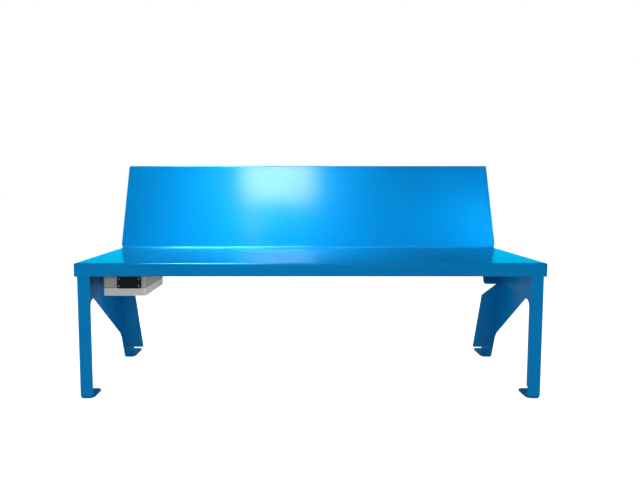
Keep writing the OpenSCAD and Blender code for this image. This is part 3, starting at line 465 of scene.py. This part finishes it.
def seen_directly(tree):
    """The light path node, and 1 for camera, glossy and transmitted rays, else 0."""
    path = tree.nodes.new("ShaderNodeLightPath")
    total = path.outputs["Is Camera Ray"]
    for name in ("Is Glossy Ray", "Is Transmission Ray"):
        largest = tree.nodes.new("ShaderNodeMath")
        largest.operation = "MAXIMUM"
        tree.links.new(total, largest.inputs[0])
        tree.links.new(path.outputs[name], largest.inputs[1])
        total = largest.outputs["Value"]
    return path, total


def make_world():
    """White for the camera, the dark room in reflections, and a plain fill for the rest."""
    world = bpy.data.worlds.new("studio")
    bpy.context.scene.world = world
    world.use_nodes = True
    tree = world.node_tree
    tree.nodes.clear()
    path, direct = seen_directly(tree)
    source = tree.nodes.new("ShaderNodeTexCoord")
    split = tree.nodes.new("ShaderNodeSeparateXYZ")
    tree.links.new(source.outputs["Generated"], split.inputs["Vector"])
    behind = mapped(tree, split.outputs["Y"], 0.0, 1.0, *BAND_BEHIND)
    low_down = mapped(tree, split.outputs["Z"], 1.0, 0.0, *BAND_TOP)
    band = tree.nodes.new("ShaderNodeMath")
    band.operation = "MULTIPLY"
    tree.links.new(behind, band.inputs[0])
    tree.links.new(low_down, band.inputs[1])
    room = blended(tree, band.outputs["Value"], ROOM_DARK, ROOM_BAND)
    in_gloss = tree.nodes.new("ShaderNodeBackground")
    tree.links.new(room, in_gloss.inputs["Color"])
    white = add(tree, "ShaderNodeBackground", Color=(1.0, 1.0, 1.0, 1.0), Strength=1.0)
    fill = add(tree, "ShaderNodeBackground", Color=(1.0, 1.0, 1.0, 1.0), Strength=AMBIENT)
    shown = tree.nodes.new("ShaderNodeMixShader")
    tree.links.new(path.outputs["Is Camera Ray"], shown.inputs[0])
    tree.links.new(in_gloss.outputs[0], shown.inputs[1])
    tree.links.new(white.outputs[0], shown.inputs[2])
    every = tree.nodes.new("ShaderNodeMixShader")
    tree.links.new(direct, every.inputs[0])
    tree.links.new(fill.outputs[0], every.inputs[1])
    tree.links.new(shown.outputs[0], every.inputs[2])
    output = tree.nodes.new("ShaderNodeOutputWorld")
    tree.links.new(every.outputs[0], output.inputs["Surface"])


def make_floor():
    """A pale floor, white to the camera where it is lit, that keeps a soft shadow."""
    mesh = bpy.data.meshes.new("studio_floor")
    shape = bmesh.new()
    bmesh.ops.create_grid(shape, x_segments=1, y_segments=1, size=FLOOR_HALF)
    shape.to_mesh(mesh)
    shape.free()
    floor = bpy.data.objects.new("studio_floor", mesh)
    bpy.context.collection.objects.link(floor)
    material = bpy.data.materials.new("studio_floor")
    material.use_nodes = True
    tree = material.node_tree
    tree.nodes.clear()
    path = tree.nodes.new("ShaderNodeLightPath")
    plain = add(tree, "ShaderNodeBsdfDiffuse", Color=(*[FLOOR_ALBEDO] * 3, 1.0))
    lit = add(tree, "ShaderNodeBsdfDiffuse", Color=(*[FLOOR_LIT] * 3, 1.0))
    glow = add(tree, "ShaderNodeEmission", Color=(1.0, 1.0, 1.0, 1.0), Strength=FLOOR_GLOW)
    both = tree.nodes.new("ShaderNodeAddShader")
    tree.links.new(lit.outputs[0], both.inputs[0])
    tree.links.new(glow.outputs[0], both.inputs[1])
    mirrored = add(tree, "ShaderNodeEmission", Color=(*FLOOR_IN_GLOSS, 1.0), Strength=1.0)
    unseen = tree.nodes.new("ShaderNodeMixShader")
    tree.links.new(path.outputs["Is Glossy Ray"], unseen.inputs[0])
    tree.links.new(plain.outputs[0], unseen.inputs[1])
    tree.links.new(mirrored.outputs[0], unseen.inputs[2])
    pick = tree.nodes.new("ShaderNodeMixShader")
    tree.links.new(path.outputs["Is Camera Ray"], pick.inputs[0])
    tree.links.new(unseen.outputs[0], pick.inputs[1])
    tree.links.new(both.outputs[0], pick.inputs[2])
    output = tree.nodes.new("ShaderNodeOutputMaterial")
    tree.links.new(pick.outputs[0], output.inputs["Surface"])
    mesh.materials.append(material)


def make_camera():
    """The photograph's camera, with its small shift of the picture's middle."""
    camera = bpy.data.cameras.new("camera")
    camera.sensor_width = SENSOR_MM
    camera.lens = FOCAL_PX / PHOTO_WIDTH * SENSOR_MM
    camera.shift_x = (PHOTO_WIDTH / 2 - AXIS_PX[0]) / PHOTO_WIDTH
    camera.shift_y = (AXIS_PX[1] - PHOTO_HEIGHT / 2) / PHOTO_WIDTH
    obj = bpy.data.objects.new("camera", camera)
    obj.location = CAMERA_PLACE
    obj.rotation_euler = (math.radians(90.0 - CAMERA_PITCH_DOWN), 0.0, 0.0)
    bpy.context.collection.objects.link(obj)
    bpy.context.scene.camera = obj


bpy.context.scene.view_settings.view_transform = "Standard"
make_camera()
make_world()
make_lights()
make_floor()
finishes = make_materials()
dress_nodes(finishes)
plate_screws(finishes["stainless"])
